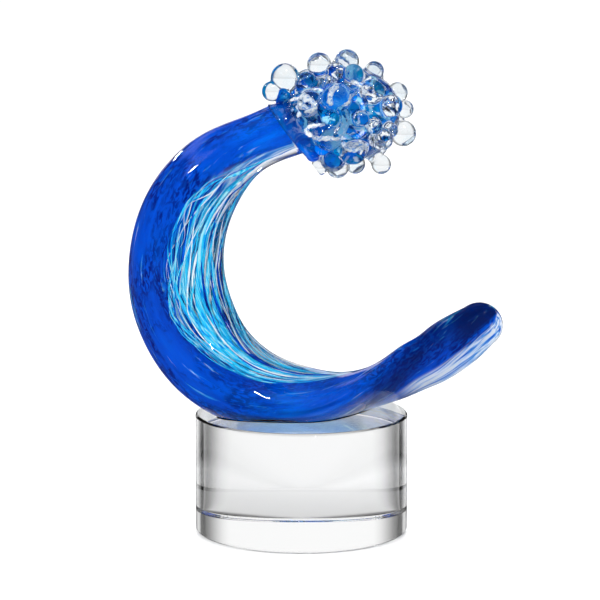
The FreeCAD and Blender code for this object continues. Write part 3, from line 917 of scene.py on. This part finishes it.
def makeFrostGlass():
    material, tree = newMaterial("frost_glass")
    grain = streaks(tree, objectPlace(tree), 620, 620, 1.5, 0.38, 0.62)
    colour = ramp(tree, grain, [(0, (0.16, 0.34, 0.72)), (0.4, (0.85, 0.93, 1)), (1, (1, 1, 1))])
    bump = put(tree, "Bump", {"Height": grain, "Strength": 1, "Distance": 0.4 * mm})
    return finishMaterial(material, glass(tree, colour, 0.3, 0.05, 1.3, Normal=bump.outputs[0]))


crestGlass = makeCrestGlass()
frostGlass = makeFrostGlass()


# The field's skin as a piece, smoothed where a name is given for that
def buildField(field, name, values, material, nodes, smooth=None):
    vertices, quads, triangles = field.mesh()
    given = {label: value(vertices) for label, value in values.items()}
    piece = buildPiece(name, vertices * mm, quads, triangles, given, material, nodes)
    if smooth:
        modifier = piece.modifiers.new(smooth, "SMOOTH")
        modifier.factor, modifier.iterations = 0.5, 3


def buildCrest():
    field = Field(crest["voxel"])
    crestBody(field, (0, 0), 0.3)
    for offAxis, clock, radius, reach in crest["drops"]:
        way, skin = crestWay(offAxis, clock)
        size = radius * crest["girth"]
        centre = crestMiddle + way * (skin + reach * crest["girth"])
        root = crestMiddle + way * (skin - crest["sink"])
        field.rod(root, centre, size * 0.9, size * crest["waist"] * 0.9, crest["blend"])
        field.ball(centre, size, 0.7)
    for row in crest["curls"]:
        field.rods(*curlPath(*row), 0.6)
    field.rods(*seamLip(), 0.5)
    field.cutAtSeam(0.05)
    nodes = nodesNamed("crest_curl", "foam_drop")
    buildField(field, "crest_clear", {}, dropGlass, nodes, "fire_polish")


def buildCrestColour():
    field = Field(0.7)
    crestBody(field, crest["colourDepth"], 1)
    inSkin, inVeins = crestSpots(), veinSpots()
    for balls, blend in ((inSkin, 1.6), (inVeins, 0.4)):
        for _, place, size in balls:
            field.ball(place, size, blend)
    field.cutAtSeam(0.3)
    values = {"tint": lambda points: spotColours(points, inSkin + inVeins)}
    buildField(field, "crest_colour", values, crestGlass, ["crest_core"], "soft_folds")


# Rods along the trails at the front and back, with a fine grain in their skin
def buildCrestTrails():
    field = Field(crest["voxel"])
    for side in (1, -1):
        for size, path in trails:
            places = crestPath(path, side, 6)
            field.rods(places, np.full(len(places), size), 0.5)
    cuts, points = field.whole()
    x, y, z = np.moveaxis(points, -1, 0)
    field.values[cuts] += 0.3 * np.sin(x * 3.1 + 2 * np.sin(z * 2.3)) * np.sin(z * 3.7 + y)
    field.cutAtSeam(0.4)
    buildField(field, "crest_trails", {}, frostGlass, [])


buildCrest()
buildCrestColour()
buildCrestTrails()
print("crest made")


# The adhesive film under the ground flat
def dressBond():
    material, tree = newMaterial("bond_clear")
    tone = streaks(tree, objectPlace(tree), 90, 90, 0.5, 0.3, 0.7)
    colour = ramp(tree, tone, [(0, (0.95, 0.97, 1)), (1, (1, 1, 1))])
    finishMaterial(material, glass(tree, colour, 1, 0, 1.001))
    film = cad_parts["bond_film"]
    film.data.materials.clear()
    film.data.materials.append(material)


dressBond()


# Studio: greys go by the angle off the line straight to the front and back, as a share of a
# quarter turn. Glass shows a white sweep, then a dark flag and a strip light at either side.
# The floor's colour has them painted in, as painted shade and light dimmed and bent as the
# crystal would show them: the angle is taken at farSide to the front or back, with the sides
# crossed a little. Under the crystal the floor's colour has a painted blue glow, and in mirrors
# it is a painted dark shade. Skins mirror a dim room and ceiling, a strip behind and a bluish
# panel, and dull surfaces get even light
studio = {
    "floorDrop": 0.3 * mm, "floorHalf": 3,
    "through": [
        (0, 1), (0.39, 1), (0.44, 0.86), (0.51, 0.56), (0.58, 0.28), (0.645, 0.12),
        (0.665, 0.008), (0.75, 0.008), (0.79, 0.7), (0.84, 1), (1, 1),
    ],
    # Painted shade: the floor's colour as seen through the crystal, dark where the flags fall
    "floorPaintedFlagShade": [
        (0, 1), (0.335, 1), (0.39, 0.9), (0.43, 0.79), (0.47, 0.62), (0.517, 0.44),
        (0.545, 0.34), (0.59, 0.235), (0.625, 0.31), (0.658, 0.42), (0.665, 0), (0.722, 0),
        (0.738, 0.12), (0.768, 0.32), (0.802, 0.61), (0.842, 1.02), (0.893, 1.68), (0.966, 2.2),
    ],
    "floorLight": 0.42, "farSide": 44 * mm, "crossed": 5 * mm,
    # Painted light: a blue glow painted on the floor under the crystal, and where it fades
    "paintedGlow": (0.52, 0.8, 1, 1), "paintedGlowEdge": (20 * mm, 45 * mm),
    # The last value here is the floor's colour in mirrors: painted shade, near black
    "mirrored": [(0, 0.04), (0.6, 0.06), (1, 0.05)], "floorPaintedMirrorShade": 0.04,
    "ceiling": 0.2, "ceilingFrom": (0.8, 0.95),
    "strip": [(0.04, 0), (0.07, 1), (0.27, 1), (0.32, 0)], "stripBehind": (0.9, 0.93),
    "panel": (0.72, 0.82, 1, 1),
    "panelHeight": [(0.54, 0), (0.6, 1), (0.74, 1), (0.8, 0)],
    "panelAside": [(0.3, 0), (0.38, 1), (0.64, 1), (0.72, 0)],
    "evenLight": 2, "floorEven": 0.9, "floorSeen": 0.72,
}


# A way's angle off the line to the front and back, as a share of a quarter turn: the arc
# tangent of its length across that line over its reach along it. A lessened reach stands for
# glass that lies off the origin
def shareFromMiddle(tree, x, y, z, lessen=0):
    sideways = put(tree, "CombineXYZ", {0: x, 1: 0, 2: z})
    aside = put(tree, "VectorMath", {0: sideways.outputs[0]}, operation="LENGTH")
    ahead = work(tree, "SUBTRACT", work(tree, "ABSOLUTE", y), lessen)
    angle = work(tree, "ARCTAN2", aside.outputs["Value"], work(tree, "MAXIMUM", ahead, 0))
    return times(tree, angle, 2 / np.pi)


# A grey by what the light's path met, glass, a mirroring skin, a dull surface or the camera,
# and whether that is the camera
def greyByPath(tree, through, mirrored, even, seen):
    path = put(tree, "LightPath").outputs
    dull = work(tree, "GREATER_THAN", path["Diffuse Depth"], 0.5)
    shade = mix(tree, path["Is Transmission Ray"], mirrored, through)
    shade = mix(tree, dull, shade, grey(even))
    return mix(tree, path["Is Camera Ray"], shade, grey(seen)), path["Is Camera Ray"]


def buildWorld():
    world = bpy.data.worlds.new("studio")
    bpy.context.scene.world = world
    world.use_nodes = True
    tree = world.node_tree
    tree.nodes.clear()
    way = put(tree, "SeparateXYZ", {0: put(tree, "TexCoord").outputs["Generated"]})
    x, y, z = (way.outputs[k] for k in range(3))
    share = shareFromMiddle(tree, x, y, z)
    high = opened(tree, z, *studio["ceilingFrom"], "LINEAR")
    through = mix(tree, high, greyRamp(tree, share, studio["through"]), grey(1))
    mirrored = mix(tree, high, greyRamp(tree, share, studio["mirrored"]), grey(studio["ceiling"]))
    behind = opened(tree, y, *studio["stripBehind"], "LINEAR")
    strip = times(tree, greyRamp(tree, z, studio["strip"]), behind)
    mirrored = mix(tree, strip, mirrored, grey(1))
    leftward = greyRamp(tree, times(tree, x, -1), studio["panelAside"])
    panel = times(tree, greyRamp(tree, z, studio["panelHeight"]), leftward)
    mirrored = mix(tree, panel, mirrored, studio["panel"])
    shade = greyByPath(tree, through, mirrored, studio["evenLight"], 1)[0]
    light = put(tree, "Background", {"Color": shade})
    put(tree, "OutputWorld", {"Surface": light.outputs[0]})


def buildFloor():
    material, tree = newMaterial("floor_acrylic")
    place = put(tree, "SeparateXYZ", {0: objectPlace(tree)})
    # Painted shade: the flags' dark bands are painted into the floor's colour, as the crystal would show
    # them
    aside = work(tree, "ADD", work(tree, "ABSOLUTE", place.outputs[0]), studio["crossed"])
    share = shareFromMiddle(tree, aside, place.outputs[1], 0, studio["farSide"])
    lit = [(at, level * studio["floorLight"]) for at, level in studio["floorPaintedFlagShade"]]
    # Painted light: a blue glow painted on the floor under the crystal, fading out towards its edge
    off = put(tree, "VectorMath", {0: objectPlace(tree)}, operation="LENGTH")
    under = opened(tree, off.outputs["Value"], *studio["paintedGlowEdge"], "LINEAR")
    through = mix(tree, under, studio["paintedGlow"], greyRamp(tree, share, lit))
    # Painted shade: in mirrors the floor's colour is near black
    mirrored = grey(studio["floorPaintedMirrorShade"])
    shade, camera = greyByPath(tree, through, mirrored, studio["floorEven"], studio["floorSeen"])
    skin = {"Roughness": 0.5, "Specular IOR Level": 0, "Coat Roughness": 0.05, "Coat IOR": 1.5}
    inputs = {"Base Color": shade, "Coat Weight": camera, **skin}
    finishMaterial(material, put(tree, "BsdfPrincipled", inputs))
    half, low = studio["floorHalf"], -studio["floorDrop"]
    corners = [(-half, -half, low), (half, -half, low), (half, half, low), (-half, half, low)]
    mesh = bpy.data.meshes.new("floor")
    mesh.from_pydata(corners, [], [(0, 1, 2, 3)])
    mesh.materials.append(material)
    addObject("floor", mesh)


# Lamps: place, size and power. They point at the sculpture's middle
lamps = [
    ("key", (-0.85, -1, 1.1), (0.26, 0.06), 8),
    ("fill", (1.15, -1, 0.28), (0.05, 0.14), 2.5),
    ("rim", (-0.95, 1.1, 0.85), (0.2, 0.05), 4),
    ("top", (0.2, -0.6, 1.55), (0.34, 0.08), 7),
]


def buildLamps():
    for name, place, size, power in lamps:
        light = bpy.data.lights.new(name, "AREA")
        light.shape = "RECTANGLE"
        light.size, light.size_y = size
        light.energy = power
        lamp = addObject(name, light)
        lamp.location = place
        aim = Vector((0, 0, 0.11)) - Vector(place)
        lamp.rotation_euler = aim.to_track_quat("-Z", "Y").to_euler()


# Camera: a long lens, ten degrees above the level
camera = {"target": (-0.0006, 0, 0.0978), "distance": 1.5, "elevation": 10, "lens": 215.4}


def buildCamera():
    data = bpy.data.cameras.new("camera")
    data.lens, data.sensor_width, data.clip_end = camera["lens"], 36, 50
    rise = np.radians(camera["elevation"])
    seat = Vector(camera["target"]) + camera["distance"] * Vector((0, -np.cos(rise), np.sin(rise)))
    item = addObject("camera", data)
    item.location = seat
    item.rotation_euler = Euler((np.pi / 2 - rise, 0, 0))
    bpy.context.scene.camera = item


buildWorld()
buildFloor()
buildLamps()
buildCamera()
bpy.context.scene.view_settings.view_transform = "Standard"
print("studio made")
